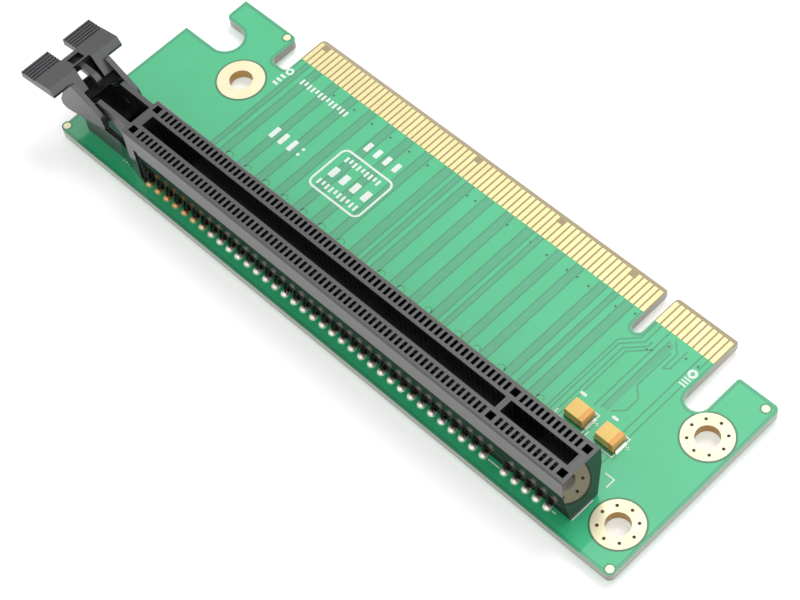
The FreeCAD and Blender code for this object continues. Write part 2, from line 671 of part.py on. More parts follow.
# Retention latch, drawn round its pivot: two arms that straddle the tower, a wide finger handle
# with ribs, and the hook that holds the card
latch = new_body("retention_latch", "%s - Sizes.connector_shift" % PIVOT_X,
                 "-Sizes.connector_setback", "Sizes.pivot_height")
arms = new_sketch(latch, "ArmProfile", "XZ_Plane")
HANDLE_UNDER_FRONT = "Sizes.handle_front_rise - Sizes.handle_front_edge"
outline(arms, [
    ("-Sizes.handle_front_reach", HANDLE_UNDER_FRONT),
    ("-Sizes.handle_front_reach + Sizes.arm_front_setback",
     "Sizes.handle_front_rise + Sizes.arm_front_lift"),
    ("Sizes.arm_end_reach / 2", "Sizes.arm_end_rise"),
    ("Sizes.arm_end_reach", "-Sizes.arm_end_rise"),
    ("0", "-Sizes.arm_end_rise"),
    ("-Sizes.arm_heel_reach", "-Sizes.arm_heel_drop"),
    ("-Sizes.lobe_reach + Sizes.lobe_toe_run", "-Sizes.lobe_drop"),
    ("-Sizes.lobe_reach", "-Sizes.lobe_drop + Sizes.lobe_toe_rise"),
    ("-Sizes.lobe_reach", "-Sizes.lobe_drop + Sizes.lobe_height"),
    ("-Sizes.arm_back_reach", "Sizes.handle_front_rise - Sizes.arm_back_drop"),
])
pad(latch, "ArmBlock", arms, "2 * %s" % ARM_OUTER, both_ways=True)
straddle = new_sketch(latch, "StraddlePlan", "XY_Plane")
box_outline(straddle, "-Sizes.lobe_reach - 1", "-%s" % ARM_INNER, "Sizes.arm_end_reach + 1", ARM_INNER)
pocket(latch, "Straddle", straddle)


def across_arm_end(edge, middle):
    return abs(edge.tangentAt(edge.FirstParameter).y) > 0.99 and middle.x > 0.1


round_edges(latch, "ArmEnds", "Sizes.arm_end_radius", across_arm_end)

ribs = int(value("rib_count"))
points = [("-Sizes.handle_reach", "Sizes.handle_end_rise - Sizes.handle_thickness")]
for i in range(ribs):
    along = "(%d / %d)" % (i, ribs)
    rise = "(Sizes.handle_end_rise + (Sizes.rib_end_rise - Sizes.handle_end_rise) * %s)" % along
    x = "(-Sizes.handle_reach + Sizes.rib_run * %s)" % along
    points.append((x, "%s - Sizes.rib_height" % rise))
    points.append(("%s + Sizes.rib_run / %d * 0.35" % (x, ribs), rise))
    points.append(("%s + Sizes.rib_run / %d * 0.75" % (x, ribs), rise))
points = points + [
    ("-Sizes.handle_reach + Sizes.rib_run", "Sizes.rib_end_rise"),
    ("-Sizes.plateau_reach", "Sizes.plateau_rise"),
    ("-Sizes.handle_front_reach", "Sizes.handle_front_rise"),
    ("-Sizes.handle_front_reach", HANDLE_UNDER_FRONT),
]
handle = new_sketch(latch, "HandleProfile", "XZ_Plane")
outline(handle, points)
pad(latch, "HandlePad", handle, "2 * Sizes.handle_half_width", both_ways=True)

# Gap between the wings, and the mouth that the hook reaches out of between the posts
openings = new_sketch(latch, "HandleOpenings", "XY_Plane")
box_outline(openings, "-Sizes.handle_reach - 1", "-Sizes.wing_gap_half_width",
            "-Sizes.handle_reach + Sizes.wing_gap_length", "Sizes.wing_gap_half_width")
box_outline(openings, "-Sizes.handle_mouth_reach", "-Sizes.post_inner", "0", "Sizes.post_inner")
pocket(latch, "HandleCuts", openings)
blind = new_sketch(latch, "HandleHolePlan", "XY_Plane", "Sizes.handle_hole_bottom")
box_outline(blind, "-Sizes.handle_hole_far", "-Sizes.handle_hole_half_width",
            "-Sizes.handle_hole_near", "Sizes.handle_hole_half_width")
pocket(latch, "HandleHole", blind, "Sizes.plateau_rise", turned=True)

# Posts that carry on the slope of the handle's front over the arms
for name, lift in (("Near", ARM_OUTER), ("Far", "-Sizes.post_inner")):
    post = new_sketch(latch, name + "PostProfile", "XZ_Plane", lift)
    outline(post, [
        ("-Sizes.handle_front_reach - Sizes.post_root", HANDLE_UNDER_FRONT),
        ("-Sizes.handle_front_reach", "Sizes.handle_front_rise"),
        ("-Sizes.post_reach", "Sizes.post_drop"),
        ("-Sizes.post_reach - Sizes.post_end_run", "Sizes.post_drop - Sizes.post_end_drop"),
    ])
    pad(latch, name + "Post", post, "%s - Sizes.post_inner" % ARM_OUTER, turned=True)

hook = new_sketch(latch, "HookProfile", "XZ_Plane")
HOOK_TIP = "Sizes.hook_rise - Sizes.hook_tip_drop"
outline(hook, [
    ("-Sizes.handle_hole_near", "Sizes.hook_rise - Sizes.hook_thickness"),
    ("-Sizes.handle_hole_near", "Sizes.hook_rise"),
    ("-Sizes.hook_reach", "Sizes.hook_rise"),
    ("-Sizes.hook_reach", HOOK_TIP),
    ("-Sizes.hook_reach - Sizes.hook_tip_width", HOOK_TIP),
    ("-Sizes.hook_reach - Sizes.hook_tip_width", "Sizes.hook_rise - Sizes.hook_thickness"),
])
pad(latch, "HookPad", hook, "2 * Sizes.hook_half_width", both_ways=True)


def hook_crown(edge, middle):
    across = abs(edge.tangentAt(edge.FirstParameter).y) > 0.99
    return (across and abs(middle.x + value("hook_reach")) < 1e-4
            and abs(middle.z - value("hook_rise")) < 1e-4)


round_edges(latch, "HookCrown", "Sizes.hook_crown_radius", hook_crown)

PIN_TIP = "(Sizes.tower_half_width - Sizes.tower_wall + Sizes.pin_end_gap)"
for name, lift in (("Near", ARM_INNER), ("Far", "-" + PIN_TIP)):
    pin = new_sketch(latch, name + "PinPlan", "XZ_Plane", lift)
    circle(pin, "0", "0", "Sizes.pin_radius")
    pad(latch, name + "Pin", pin, "%s - %s" % (ARM_INNER, PIN_TIP), turned=True)

# Two moulded chip capacitors with folded end terminals
for index, name in enumerate(("one", "two")):
    x = "%s + Sizes.capacitor_first_offset + %d * Sizes.capacitor_spacing" % (KEY_X, index)
    y = "-Sizes.capacitor_setback"
    case = new_body("capacitor_body_" + name, x, y)
    plan = new_sketch(case, "CasePlan", "XY_Plane", "Sizes.terminal_thickness")
    box_outline(plan, "-Sizes.capacitor_length / 2", "-Sizes.capacitor_width / 2",
                "Sizes.capacitor_length / 2", "Sizes.capacitor_width / 2")
    block = pad(case, "CasePad", plan, "Sizes.capacitor_height - Sizes.terminal_thickness")
    block.setExpression("TaperAngle", "-Sizes.capacitor_draft")
    doc.recompute()
    for end_name, sign in (("cathode", "-"), ("anode", "")):
        end_x = "Sizes.capacitor_length / 2"
        terminal = new_body("capacitor_%s_%s" % (end_name, name), x, y)
        fold = new_sketch(terminal, "TerminalProfile", "XZ_Plane")
        outline(fold, [
            ("%s(%s - Sizes.terminal_foot)" % (sign, end_x), "0"),
            ("%s(%s + Sizes.terminal_thickness)" % (sign, end_x), "0"),
            ("%s(%s + Sizes.terminal_thickness)" % (sign, end_x), "Sizes.terminal_rise"),
            ("%s(%s)" % (sign, end_x), "Sizes.terminal_rise"),
            ("%s(%s)" % (sign, end_x), "Sizes.terminal_thickness"),
            ("%s(%s - Sizes.terminal_foot)" % (sign, end_x), "Sizes.terminal_thickness"),
        ])
        pad(terminal, "TerminalPad", fold, "Sizes.terminal_width", both_ways=True)

fillets = new_body("capacitor_solder", "%s + Sizes.capacitor_first_offset" % KEY_X,
                   "-Sizes.capacitor_setback")
wedge = new_sketch(fillets, "WedgeProfile", "XZ_Plane")
for shift in ("0", "Sizes.capacitor_spacing"):
    for sign in ("-", ""):
        face = "(%s + %s(Sizes.capacitor_length / 2 + Sizes.terminal_thickness))" % (shift, sign)
        outline(wedge, [
            (face, "0"),
            ("%s + %sSizes.fillet_run" % (face, sign), "0"),
            (face, "Sizes.fillet_rise"),
        ])
pad(fillets, "WedgePad", wedge, "Sizes.terminal_width", both_ways=True)

doc.recompute()
failed = [o.Name for o in doc.Objects if "Invalid" in o.State or "Error" in o.State]
if failed:
    raise RuntimeError("not computed: %s" % ", ".join(failed))
bodies = [o for o in doc.Objects if o.TypeId == "PartDesign::Body"]
for body in bodies:
    if body.Shape.isNull() or not body.Shape.isValid():
        raise RuntimeError("%s has no valid shape" % body.Label)
os.makedirs("parts", exist_ok=True)
for body in bodies:
    body.Shape.exportStep("parts/%s.step" % body.Label)
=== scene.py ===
import bpy
import bmesh
import math
from mathutils import Matrix, Vector


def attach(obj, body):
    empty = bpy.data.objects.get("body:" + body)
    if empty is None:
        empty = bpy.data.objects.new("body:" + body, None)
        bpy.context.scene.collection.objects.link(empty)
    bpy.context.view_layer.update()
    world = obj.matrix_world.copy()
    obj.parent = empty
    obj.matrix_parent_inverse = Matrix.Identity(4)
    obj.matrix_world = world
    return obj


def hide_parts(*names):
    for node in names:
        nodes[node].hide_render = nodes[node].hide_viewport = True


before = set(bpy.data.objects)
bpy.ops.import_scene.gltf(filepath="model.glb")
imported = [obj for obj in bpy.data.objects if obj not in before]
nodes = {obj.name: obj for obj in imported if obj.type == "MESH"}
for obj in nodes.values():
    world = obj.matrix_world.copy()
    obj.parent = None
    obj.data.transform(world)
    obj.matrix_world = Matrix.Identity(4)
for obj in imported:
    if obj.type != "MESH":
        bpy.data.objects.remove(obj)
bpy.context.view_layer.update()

# Places and lengths are in millimetres from the datum: the first gold finger at the mask line, on the
# board's top face. SHIFT is the frame's origin in these millimetres.
SHIFT = Vector((36.0215, -15.085, -2.42))
BOARD_UNDER = -1.57
CONNECTOR_X = -0.407
CONNECTOR_Y = -28.62
RINGS = ((-4.69, -9.15), (90.43, -9.4), (90.43, -27.49))


def at(x, y, z=0.0):
    """The place in the frame's metres."""
    return (Vector((x, y, z)) - SHIFT) / 1000.0


def datum(point):
    """The place in millimetres from the datum."""
    return Vector(point) * 1000 + SHIFT


# Shader nodes, where owner is the material or the world that they belong to
def new(owner, kind, **values):
    node = owner.node_tree.nodes.new(kind)
    for key, value in values.items():
        if hasattr(node, key):
            setattr(node, key, value)
        else:
            node.inputs[key.replace("_", " ")].default_value = value
    return node


def join(owner, source, target):
    owner.node_tree.links.new(source, target)


def calc(owner, operation, *terms):
    node = new(owner, "ShaderNodeMath", operation=operation)
    for socket, term in zip(node.inputs, terms):
        if isinstance(term, (int, float)):
            socket.default_value = term
        else:
            join(owner, term, socket)
    return node.outputs[0]


def product(owner, first, *others):
    for other in others:
        first = calc(owner, "MULTIPLY", first, other)
    return first


def away(owner, value, centre):
    """Distance of value from centre."""
    return calc(owner, "ABSOLUTE", calc(owner, "SUBTRACT", value, centre))


def step(owner, value, off, on):
    """0 where value has passed off, 1 where it has passed on, and smooth between the two."""
    spread = new(owner, "ShaderNodeMapRange", interpolation_type="SMOOTHSTEP")
    spread.inputs["From Min"].default_value = min(off, on)
    spread.inputs["From Max"].default_value = max(off, on)
    spread.inputs["To Min"].default_value = 0.0 if off < on else 1.0
    spread.inputs["To Max"].default_value = 1.0 if off < on else 0.0
    join(owner, value, spread.inputs["Value"])
    return spread.outputs["Result"]


def within(owner, value, rise, fall):
    """1 between two soft borders, each given as (off, on)."""
    return product(owner, step(owner, value, *rise), step(owner, value, *fall))


def blend_colour(owner, factor, first, second):
    mixed = new(owner, "ShaderNodeMix", data_type="RGBA")
    for index, term in ((0, factor), (6, first), (7, second)):
        if isinstance(term, tuple):
            mixed.inputs[index].default_value = (*term, 1.0)
        else:
            join(owner, term, mixed.inputs[index])
    return mixed.outputs[2]


class Place:
    """Position in millimetres from the datum, and the surface's direction, as sockets."""

    def __init__(self, owner):
        coords = new(owner, "ShaderNodeTexCoord")
        scaled = new(owner, "ShaderNodeVectorMath", operation="MULTIPLY_ADD")
        join(owner, coords.outputs["Object"], scaled.inputs[0])
        scaled.inputs[1].default_value = (1000.0, 1000.0, 1000.0)
        scaled.inputs[2].default_value = SHIFT
        apart = new(owner, "ShaderNodeSeparateXYZ")
        join(owner, scaled.outputs[0], apart.inputs[0])
        facing = new(owner, "ShaderNodeSeparateXYZ")
        join(owner, coords.outputs["Normal"], facing.inputs[0])
        self.point = scaled.outputs[0]
        self.x, self.y, self.z = apart.outputs
        self.ny, self.nz = facing.outputs[1:]


def upright(owner, place, off, on):
    """1 on walls and 0 on flat faces: off and on are how much the surface's direction is up or down."""
    return step(owner, calc(owner, "ABSOLUTE", place.nz), off, on)


BUMP_DEPTH = 0.00002
COAT_ROUGHNESS = 0.06


def finish(name, light, dark, grain, rough, bump=0.05, metal=0.0, ior=1.5, paint=None, round_off=0.0,
           mottle=0.35, coat=0.0, coat_ior=1.6, specular=0.5):
    """A material between two colours, with fine grain and broad mottling. rough is its least and most
    roughness, paint changes the colour with the place, and edges look as if round_off were their radius."""
    made = bpy.data.materials.new(name)
    made.use_nodes = True
    shader = made.node_tree.nodes["Principled BSDF"]
    for socket, value in (("Metallic", metal), ("IOR", ior), ("Specular IOR Level", specular),
                          ("Coat Weight", coat), ("Coat IOR", coat_ior), ("Coat Roughness", COAT_ROUGHNESS)):
        shader.inputs[socket].default_value = value
    place = Place(made)
    fine = new(made, "ShaderNodeTexNoise", Scale=grain, Detail=3.0, Roughness=0.6)
    broad = new(made, "ShaderNodeTexNoise", Scale=mottle, Detail=2.0, Roughness=0.5)
    join(made, place.point, fine.inputs["Vector"])
    join(made, place.point, broad.inputs["Vector"])
    both = calc(made, "MULTIPLY_ADD", fine.outputs["Fac"], 0.5, product(made, broad.outputs["Fac"], 0.5))
    colour = blend_colour(made, step(made, both, 0.35, 0.65), light, dark)
    if paint:
        colour = paint(made, place, colour)
    join(made, colour, shader.inputs["Base Color"])
    spread = new(made, "ShaderNodeMapRange", To_Min=rough[0], To_Max=rough[1])
    join(made, both, spread.inputs["Value"])
    join(made, spread.outputs["Result"], shader.inputs["Roughness"])
    bumps = new(made, "ShaderNodeBump", Strength=bump, Distance=BUMP_DEPTH)
    join(made, fine.outputs["Fac"], bumps.inputs["Height"])
    if round_off:
        edges = new(made, "ShaderNodeBevel", samples=4)
        edges.inputs["Radius"].default_value = round_off / 1000.0
        join(made, edges.outputs["Normal"], bumps.inputs["Normal"])
    join(made, bumps.outputs["Normal"], shader.inputs["Normal"])
    return made


# What changes with the place on the board. Each pair of lengths is a soft border, from off to on, and
# LAYER_WAVE is in radians to a millimetre.
LAMINATE = (0.33, 0.25, 0.10)
LAMINATE_EDGE = (0.28, 0.23, 0.17)
LAMINATE_LAYER = (0.21, 0.17, 0.12)
MASK_EDGE = (0.010, 0.16, 0.065)
RING_OPENING = (4.16, 4.06)
MASK_LINE = (0.0, 0.08)
TONGUE_LEFT = (-0.8, -0.7)
TONGUE_RIGHT = (83.8, 83.7)
LAYER_WAVE = 24.0
UPPER_RIM = (-0.12, -0.06)
LOWER_RIM = (-1.45, -1.51)


def paint_board(made, place, colour):
    # The plated rings sit in openings of the mask with a dark rim
    for x, y in RINGS:
        across = calc(made, "SUBTRACT", place.x, x)
        along = calc(made, "SUBTRACT", place.y, y)
        squares = calc(made, "ADD", product(made, across, across), product(made, along, along))
        in_opening = step(made, calc(made, "SQRT", squares), *RING_OPENING)
        colour = blend_colour(made, in_opening, colour, MASK_EDGE)
    # Bare laminate on the tongue, past the mask line
    bare = product(made, step(made, place.y, *MASK_LINE), within(made, place.x, TONGUE_LEFT, TONGUE_RIGHT))
    colour = blend_colour(made, bare, colour, LAMINATE)
    # Sawn edges: layered laminate with a line of mask at the top and at the bottom
    layers = step(made, calc(made, "SINE", product(made, place.z, LAYER_WAVE)), -0.6, 0.6)
    edge = blend_colour(made, layers, LAMINATE_EDGE, LAMINATE_LAYER)
    rims = calc(made, "MAXIMUM", step(made, place.z, *UPPER_RIM), step(made, place.z, *LOWER_RIM))
    edge = blend_colour(made, rims, edge, MASK_EDGE)
    return blend_colour(made, upright(made, place, 0.3, 0.2), colour, edge)


BARREL_BROWN = (0.42, 0.25, 0.08)


def paint_ring(made, place, colour):
    # The barrel inside the hole is browner than the flat ring
    return blend_colour(made, upright(made, place, 0.6, 0.4), colour, BARREL_BROWN)


SLOT_PAINTED_SHADE = (0.0015, 0.0015, 0.0015)
SLOT_BAR = (0.014, 0.015, 0.018)
SLOT_SIDE = (1.3, 1.2)
SLOT_FLOOR = (3.2, 3.4)
BARS_START = CONNECTOR_X - 10.5
BAR_EDGE = (0.30, 0.22)


def paint_housing(made, place, colour):
    # Painted shade: the slot's walls are painted near black for the shade deep in the slot, with contact
    # fronts as faint bars, one to each millimetre
    wall = product(made, step(made, away(made, place.y, CONNECTOR_Y), *SLOT_SIDE),
                   step(made, place.z, *SLOT_FLOOR))
    phase = calc(made, "FRACT", calc(made, "SUBTRACT", place.x, BARS_START))
    bar = step(made, away(made, phase, 0.5), *BAR_EDGE)
    return blend_colour(made, wall, colour, blend_colour(made, bar, SLOT_PAINTED_SHADE, SLOT_BAR))


TAIL_PAINTED_SHADE = (0.035, 0.018, 0.012)
TAIL_TOP = (3.25, 3.05)


def paint_contact(made, place, colour):
    # Painted shade: below the cavities the tails are painted dark, for their shade and their reflection of
    # the black housing
    return blend_colour(made, step(made, place.z, *TAIL_TOP), colour, TAIL_PAINTED_SHADE)


LATCH_PAINTED_SHADE = (0.002, 0.002, 0.002)
LATCH_HOLE_SIDE = (1.16, 1.12)
LATCH_HOLE_LEFT = (-18.4, -18.35)
LATCH_HOLE_RIGHT = (-16.58, -16.62)
LATCH_HOLE_TOP = (13.3, 13.1)
ARM_FACE_NEAR = (1.2, 1.5)
ARM_FACE_FAR = (3.4, 3.2)


def paint_latch(made, place, colour):
    # Painted shade: the blind hole in the handle and the inner faces of the arms are painted near black
    shaded_hole = product(made, step(made, away(made, place.y, CONNECTOR_Y), *LATCH_HOLE_SIDE),
                   within(made, place.x, LATCH_HOLE_LEFT, LATCH_HOLE_RIGHT),
                   step(made, place.z, *LATCH_HOLE_TOP))
    inward = product(made, place.ny, calc(made, "SUBTRACT", CONNECTOR_Y, place.y))
    inner = within(made, inward, ARM_FACE_NEAR, ARM_FACE_FAR)
    return blend_colour(made, calc(made, "MAXIMUM", shaded_hole, inner), colour, LATCH_PAINTED_SHADE)


PAINTED_REFLECTION_BROWN = (0.62, 0.36, 0.14)
REFLECTION_SPREAD = 8.0
REFLECTION_END = (22.0, 12.0)


def paint_solder(made, place, colour):
    # Painted reflection: the joints toward the latch end are painted brown, for gold that reflects dark
    # surroundings
    noise = new(made, "ShaderNodeTexNoise", Scale=0.8)
    join(made, place.point, noise.inputs["Vector"])
    reach = calc(made, "MULTIPLY_ADD", noise.outputs["Fac"], REFLECTION_SPREAD, place.x)
    return blend_colour(made, step(made, reach, *REFLECTION_END), colour, PAINTED_REFLECTION_BROWN)


CAPACITOR_BAND = (0.93, 0.47, 0.13)
CAPACITOR_FOOT_SHADE = (0.10, 0.06, 0.02)
CAPACITOR_START = 72.0
CAPACITOR_PITCH = 5.65
BAND_START = (4.02, 4.10)
FOOT_SHADE_TOP = (0.45, 0.3)


def paint_capacitor(made, place, colour):
    # Darker polarity band toward +X, and painted shade along the foot
    along = calc(made, "MODULO", calc(made, "SUBTRACT", place.x, CAPACITOR_START), CAPACITOR_PITCH)
    colour = blend_colour(made, step(made, along, *BAND_START), colour, CAPACITOR_BAND)
    return blend_colour(made, step(made, place.z, *FOOT_SHADE_TOP), colour, CAPACITOR_FOOT_SHADE)


# Materials: two colours, grain, roughness from and to, bump
GLOSS = dict(ior=1.62, coat=1.0)
SATIN_COAT = dict(coat_ior=1.5, specular=0.0)
mask = finish("mask", (0.022, 0.525, 0.222), (0.018, 0.488, 0.198), 6.0, (0.33, 0.40), 0.03,
              paint=paint_board, mottle=0.12, **GLOSS)
copper_gap = finish("copper_gap", (0.032, 0.39, 0.188), (0.027, 0.358, 0.168), 6.0, (0.33, 0.42), 0.05,
                    **GLOSS)
copper_step = finish("copper_step", (0.016, 0.29, 0.120), (0.013, 0.26, 0.105), 6.0, (0.33, 0.42), 0.05,
                     **GLOSS)
print_white = finish("print_white", (0.86, 0.93, 0.88), (0.80, 0.89, 0.83), 9.0, (0.45, 0.6), 0.3)
gold = finish("gold", (0.88, 0.79, 0.43), (0.82, 0.71, 0.35), 5.0, (0.22, 0.34), 0.10, metal=0.85)
ring_gold = finish("ring_gold", (0.91, 0.86, 0.62), (0.86, 0.79, 0.50), 5.0, (0.24, 0.38), 0.12, metal=0.75,
                   paint=paint_ring)
contact_gold = finish("contact_gold", (0.75, 0.60, 0.28), (0.60, 0.45, 0.20), 7.0, (0.2, 0.4), 0.1, metal=1.0,
                      paint=paint_contact)
solder = finish("solder", (0.97, 0.92, 0.82), (0.84, 0.79, 0.70), 4.0, (0.20, 0.35), 0.3, metal=0.4,
                paint=paint_solder)
# Painted shade: near-black discs that stand for the shade in holes and beside the solder joints
hole_painted_shade = finish("hole_painted_shade", (0.012, 0.010, 0.008), (0.006, 0.005, 0.004), 6.0, (0.5, 0.7), 0.2)
housing_black = finish("housing_black", (0.011, 0.012, 0.014), (0.016, 0.017, 0.019), 5.0, (0.07, 0.13), 0.04,
                       ior=2.0, paint=paint_housing, round_off=0.10)
housing_low = finish("housing_low", (0.005, 0.006, 0.006), (0.007, 0.008, 0.008), 5.0, (0.3, 0.4), 0.04,
                     coat=0.38, **SATIN_COAT)
housing_end = finish("housing_end", (0.007, 0.008, 0.008), (0.010, 0.011, 0.011), 5.0, (0.3, 0.4), 0.04,
                     coat=0.8, **SATIN_COAT)
housing_dull = finish("housing_dull", (0.012, 0.012, 0.013), (0.018, 0.018, 0.019), 5.0, (0.38, 0.48), 0.1,
                      ior=2.1)
# Painted shade: near black and dull, for the latch web between the arms
painted_shade_black = finish("painted_shade_black", (0.004, 0.004, 0.005), (0.007, 0.007, 0.008), 6.0, (0.5, 0.65), 0.2,
                     ior=1.25)
latch_grey = finish("latch_grey", (0.020, 0.021, 0.024), (0.029, 0.030, 0.034), 6.0, (0.26, 0.36), 0.12,
                    ior=1.72, paint=paint_latch, round_off=0.10)
capacitor_yellow = finish("capacitor_yellow", (0.97, 0.68, 0.22), (0.93, 0.62, 0.18), 8.0, (0.42, 0.55), 0.2,
                          paint=paint_capacitor, round_off=0.08)
tin = finish("tin", (0.34, 0.32, 0.29), (0.24, 0.22, 0.19), 6.0, (0.3, 0.45), 0.15, metal=0.9)

# The first start that fits a node's name gives its look
LOOKS = (("circuit_board", mask), ("connector_housing", housing_black), ("retention_latch", latch_grey),
         ("edge_fingers", gold), ("mounting_ring", ring_gold), ("contacts", contact_gold), ("solder", solder),
         ("capacitor_solder", solder), ("capacitor_body", capacitor_yellow), ("capacitor", tin))
for name, obj in nodes.items():
    node_look = next(look for start, look in LOOKS if name.startswith(start))
    if not obj.material_slots:
        obj.data.materials.append(node_look)
    for slot in obj.material_slots:
        slot.material = node_look


# Mesh helpers, where look is the number of a face's material in its piece
def loft(shape, rings, look=0, wrap=False):
    made = [[shape.verts.new(at(*point)) for point in ring] for ring in rings]
    pairs = list(zip(made, made[1:])) + ([(made[-1], made[0])] if wrap else [])
    faces = []
    for low, high in pairs:
        for i in range(len(low)):
            j = (i + 1) % len(low)
            faces.append(shape.faces.new((low[i], low[j], high[j], high[i])))
    if not wrap:
        faces.append(shape.faces.new(list(reversed(made[0]))))
        faces.append(shape.faces.new(made[-1]))
    for face in faces:
        face.material_index = look


def around(x, y, radius, angle):
    return x + radius * math.cos(angle), y + radius * math.sin(angle)


def circle(x, y, radius, z, steps):
    return [(*around(x, y, radius, 2 * math.pi * i / steps), z) for i in range(steps)]


def turned(shape, x, y, profile, steps=20, look=0):
    """A solid of circles one above the other: profile is (radius, height)."""
    loft(shape, [circle(x, y, radius, z, steps) for radius, z in profile], look)


def hoop(shape, x, y, section, steps=24, look=0):
    """A ring with a closed section of (radius, height)."""
    rings = []
    for i in range(steps):
        angle = 2 * math.pi * i / steps
        rings.append([(*around(x, y, radius, angle), z) for radius, z in section])
    loft(shape, rings, look, wrap=True)


def washer(shape, x, y, inner, outer, low, high, steps=24, look=0):
    hoop(shape, x, y, [(inner, low), (outer, low), (outer, high), (inner, high)], steps, look)


def band(shape, path, first, last, low, high, look=0, closed=False):
    """A flat band along a path, with mitred corners; first and last are the distances to its sides."""
    rings = []
    count = len(path)
    for i, (x, y) in enumerate(path):
        before = path[i - 1] if i or closed else None
        after = path[(i + 1) % count] if i + 1 < count or closed else None
        ways = []
        for a, b in ((before, (x, y)), ((x, y), after)):
            if a and b:
                way = Vector((b[0] - a[0], b[1] - a[1]))
                if way.length > 1e-6:
                    ways.append(way.normalized())
        across = sum((Vector((-way.y, way.x)) for way in ways), Vector((0, 0))).normalized()
        across /= max(0.35, across.dot(Vector((-ways[0].y, ways[0].x))))
        near = Vector((x, y)) + first * across
        far = Vector((x, y)) + last * across
        rings.append([(*near, low), (*far, low), (*far, high), (*near, high)])
    loft(shape, rings, look, wrap=closed)


def line(shape, path, width, low, high, look=0, closed=False):
    band(shape, path, -width / 2, width / 2, low, high, look, closed)


def block(shape, x0, y0, x1, y1, low, high, look=0):
    line(shape, [(x0, (y0 + y1) / 2), (x1, (y0 + y1) / 2)], abs(y1 - y0), low, high, look)


def rounded(x0, y0, x1, y1, radius, steps=5):
    points = []
    for cx, cy, start in ((x1 - radius, y1 - radius, 0), (x0 + radius, y1 - radius, 90),
                          (x0 + radius, y0 + radius, 180), (x1 - radius, y0 + radius, 270)):
        for i in range(steps + 1):
            points.append(around(cx, cy, radius, math.radians(start + 90 * i / steps)))
    return points


def piece(name, body, looks, shape, replaced=(), smooth=0):
    """An object from a shape; smooth is the angle up to which its faces meet softly."""
    bmesh.ops.recalc_face_normals(shape, faces=shape.faces)
    mesh = bpy.data.meshes.new(name)
    shape.to_mesh(mesh)
    shape.free()
    for look in looks:
        mesh.materials.append(look)
    made = bpy.data.objects.new(name, mesh)
    bpy.context.collection.objects.link(made)
    if smooth:
        mesh.shade_smooth()
        mesh.set_sharp_from_angle(angle=math.radians(smooth))
    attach(made, body)
    if replaced:
        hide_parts(*replaced)


# Copper seen through the mask: gaps between its areas, steps at their edges, and small plated holes, each
# holding a dark disc of painted shade
GAP_TOP = 0.008
STEP_TOP = 0.016
TRACE_WIDTH = 0.24
TRACE_END = -24.4
ARC_WIDTH = 0.16
ARC_Y = -20.2
ARC_RADIUS = 0.62
VIA_HOLE = 0.13
VIA_RADIUS = 0.28
VIA_TOP = STEP_TOP + 0.004
VIA_SHADE_TOP = STEP_TOP + 0.002
# Left and right side of each gap, with a step along both
GAPS = ((0.7, 1.6), (2.7, 4.1), (6.7, 8.1), (10.7, 12.2), (14.8, 16.3), (19.0, 20.5), (22.9, 24.4),
        (26.9, 28.4), (31.1, 32.7), (33.6, 34.5), (35.5, 37.0), (39.6, 41.1), (43.7, 45.2), (47.8, 49.3),
        (50.2, 51.1), (54.0, 55.4), (57.7, 59.1), (62.3, 63.7), (64.9, 65.8), (67.1, 68.6))
GAP_INSET = 0.1
GAP_START = -0.1
STEP_START = -0.05
# Single routes on the right, with their bends, and the one gap among them
ROUTES = (
    ((73.0, 0.0), (73.0, -3.4), (70.7, -5.8), (70.7, TRACE_END)),
    ((73.9, 0.0), (73.9, -3.6), (71.3, -6.2), (71.3, TRACE_END)),
    ((74.7, -2.9), (74.7, -3.9), (72.2, -6.4), (72.2, TRACE_END)),
    ((75.5, 0.0), (75.5, -3.9), (72.9, -6.6), (72.9, TRACE_END)),
    ((75.5, -3.9), (75.5, -16.0)),
    ((76.4, -1.2), (76.4, -15.6)),
    ((77.8, -2.6), (77.8, -9.6), (79.4, -11.2), (79.4, -13.6), (77.9, -15.1)),
    ((77.0, -0.6), (78.6, -2.2), (78.6, -5.2), (79.4, -4.6), (79.4, -1.0)),
    ((81.4, 0.0), (81.4, TRACE_END)),
    ((82.5, 0.0), (82.5, -2.2)),
    ((82.5, -5.6), (82.5, TRACE_END)),
)
ROUTE_GAP = (76.5, -1.4, 77.5, -15.4)
VIAS = ((8.6, -1.8), (13.0, -1.7), (17.0, -1.8), (21.0, -1.8), (25.0, -1.8), (28.9, -1.8), (37.3, -1.9),
        (38.9, -1.8), (45.4, -1.8), (50.1, -1.8), (53.4, -1.9), (57.4, -1.9), (59.3, -1.8), (61.6, -1.9),
        (66.8, -1.9), (69.7, -1.0), (74.9, -4.4), (76.9, -2.0), (80.0, -1.9), (82.1, -1.8))
# Clearance arcs of the copper in front of the connector
ARCS_X = (4.6, 8.7, 12.8, 16.9, 21.0, 25.0, 29.1, 37.6, 41.7, 47.2, 53.3, 56.9, 61.7, 69.2)


